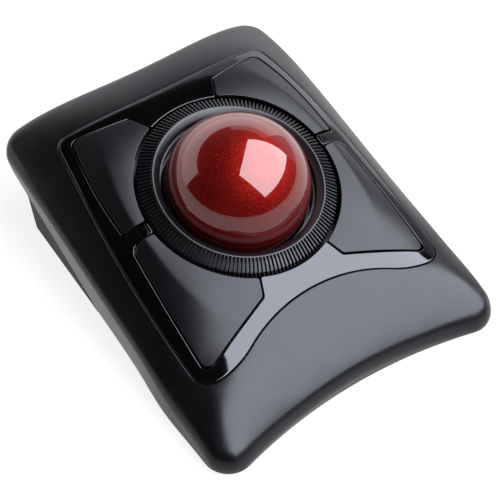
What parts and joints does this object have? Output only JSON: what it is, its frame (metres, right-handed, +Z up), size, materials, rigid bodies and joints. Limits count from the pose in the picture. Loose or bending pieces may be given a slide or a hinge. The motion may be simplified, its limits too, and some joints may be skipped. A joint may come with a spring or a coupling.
{
  "type": "trackball pointing device",
  "caption": "Wireless desktop trackball: large red ball inside a toothed scroll ring, four buttons in a gloss plate and a domed black casing.",
  "frame": {"origin": "under the middle of the casing, on the surface that the feet stand on", "axes": "+Z up, +Y away from the user, +X to the user's right"},
  "size_m": [0.1314, 0.1551, 0.065],
  "materials": {
    "casing": "soft-touch satin black",
    "casing_base": "fine matte black",
    "gloss_black": "high gloss black",
    "button_black": "semi-gloss black",
    "ring_black": "satin black",
    "inner_black": "moulded black",
    "switch_black": "moulded black",
    "plunger_white": "moulded white",
    "guide_black": "low-friction black acetal",
    "ball_resin": "cast resin",
    "ball_pearl": "pearl red under a clear coat",
    "bearing_ruby": "polished synthetic ruby",
    "board_green": "solder mask",
    "chip_black": "moulded epoxy",
    "lens_clear": "clear moulded optic",
    "cell_metal": "printed sleeve",
    "nickel": "nickel plated",
    "foot_rubber": "soft rubber",
    "screw_steel": "black zinc"
  },
  "bodies": {
    "root": {"top_shell": "casing", "base_shell": "casing_base", "centre_plate": "gloss_black", "switch_lower_right": "switch_black", "switch_lower_left": "switch_black", "switch_upper_right": "switch_black", "switch_upper_left": "switch_black", "ring_guide": "guide_black", "scroll_sensor": "switch_black", "ball_cup": "inner_black", "bearing_back": "bearing_ruby", "bearing_left": "bearing_ruby", "bearing_right": "bearing_ruby", "inner_frame": "inner_black", "main_board": "board_green", "sensor_board": "board_green", "optical_sensor": "chip_black", "sensor_lens": "lens_clear", "controller_chip": "chip_black", "battery_tray": "inner_black", "cell_front": "cell_metal", "cell_back": "cell_metal", "contact_plate_front": "nickel", "contact_plate_back": "nickel", "contact_spring_front": "nickel", "contact_spring_back": "nickel", "power_switch": "switch_black", "pairing_switch": "switch_black", "foot_front_left": "foot_rubber", "foot_front_right": "foot_rubber", "foot_front": "foot_rubber", "foot_back_left": "foot_rubber", "foot_back_right": "foot_rubber", "case_screws": "screw_steel", "board_screws": "screw_steel", "frame_screws": "screw_steel"},
    "button_lower_left": {"button_lower_left": "button_black"},
    "plunger_lower_left": {"plunger_lower_left": "plunger_white"},
    "button_upper_left": {"button_upper_left": "button_black"},
    "plunger_upper_left": {"plunger_upper_left": "plunger_white"},
    "button_lower_right": {"button_lower_right": "button_black"},
    "plunger_lower_right": {"plunger_lower_right": "plunger_white"},
    "button_upper_right": {"button_upper_right": "button_black"},
    "plunger_upper_right": {"plunger_upper_right": "plunger_white"},
    "scroll_ring": {"scroll_ring": "ring_black", "encoder_band": "ring_black"},
    "ball_core": {"ball_core": "ball_resin"},
    "ball_body": {"ball_body": "ball_resin"},
    "ball": {"ball_coat": "ball_pearl"},
    "battery_door": {"battery_door": "casing_base"},
    "power_slider": {"power_slider": "plunger_white"},
    "pairing_button": {"pairing_button": "button_black"},
    "receiver": {"receiver_cap": "switch_black", "receiver_plug": "nickel"}
  },
  "joints": [
    {"name": "press_lower_left", "type": "hinge", "parent": "root", "child": "button_lower_left", "pos_m": [-0.044, 0.00347, 0.02966], "axis": [1, 0, 0], "range_deg": [0, 1], "stiffness_Nm_per_rad": 1.2, "springref_deg": -0.57},
    {"name": "click_lower_left", "type": "slide", "parent": "root", "child": "plunger_lower_left", "axis": [0, 0.1959, -0.9806], "range_m": [0, 0.0008]},
    {"name": "press_upper_left", "type": "hinge", "parent": "root", "child": "button_upper_left", "pos_m": [-0.044, 0.01524, 0.03201], "axis": [-1, 0, 0], "range_deg": [0, 1], "stiffness_Nm_per_rad": 1.2, "springref_deg": -0.57},
    {"name": "click_upper_left", "type": "slide", "parent": "root", "child": "plunger_upper_left", "axis": [0, 0.1959, -0.9806], "range_m": [0, 0.0008]},
    {"name": "press_lower_right", "type": "hinge", "parent": "root", "child": "button_lower_right", "pos_m": [0.044, 0.00347, 0.02966], "axis": [1, 0, 0], "range_deg": [0, 1], "stiffness_Nm_per_rad": 1.2, "springref_deg": -0.57},
    {"name": "click_lower_right", "type": "slide", "parent": "root", "child": "plunger_lower_right", "axis": [0, 0.1959, -0.9806], "range_m": [0, 0.0008]},
    {"name": "press_upper_right", "type": "hinge", "parent": "root", "child": "button_upper_right", "pos_m": [0.044, 0.01524, 0.03201], "axis": [-1, 0, 0], "range_deg": [0, 1], "stiffness_Nm_per_rad": 1.2, "springref_deg": -0.57},
    {"name": "click_upper_right", "type": "slide", "parent": "root", "child": "plunger_upper_right", "axis": [0, 0.1959, -0.9806], "range_m": [0, 0.0008]},
    {"name": "ring_scroll", "type": "hinge", "parent": "root", "child": "scroll_ring", "pos_m": [0, 0.007, 0.0375], "axis": [0, -0.1959, 0.9806], "continuous": true},
    {"name": "ball_lift", "type": "slide", "parent": "root", "child": "ball_core", "axis": [0, -0.1959, 0.9806], "range_m": [0, 0.06]},
    {"name": "ball_roll_ahead", "type": "hinge", "parent": "ball_core", "child": "ball_body", "pos_m": [0, 0.007, 0.0375], "axis": [1, 0, 0], "continuous": true},
    {"name": "ball_roll_across", "type": "hinge", "parent": "ball_body", "child": "ball", "pos_m": [0, 0.007, 0.0375], "axis": [0, 1, 0], "continuous": true},
    {"name": "door_slide", "type": "slide", "parent": "root", "child": "battery_door", "axis": [0, 1, 0], "range_m": [0, 0.036]},
    {"name": "power_slide", "type": "slide", "parent": "root", "child": "power_slider", "axis": [1, 0, 0], "range_m": [0, 0.0024]},
    {"name": "pairing_press", "type": "slide", "parent": "root", "child": "pairing_button", "axis": [0, 0, 1], "range_m": [0, 0.0006], "stiffness_N_per_m": 1500, "springref_m": -0.0004},
    {"name": "receiver_slide", "type": "slide", "parent": "root", "child": "receiver", "axis": [0, 0, -1], "range_m": [0, 0.012]}
  ],
  "couplings": [
    {"joint": "click_lower_left", "follows": "press_lower_left", "m_per_rad": 0.037},
    {"joint": "click_upper_left", "follows": "press_upper_left", "m_per_rad": 0.0305},
    {"joint": "click_lower_right", "follows": "press_lower_right", "m_per_rad": 0.037},
    {"joint": "click_upper_right", "follows": "press_upper_right", "m_per_rad": 0.0305}
  ]
}
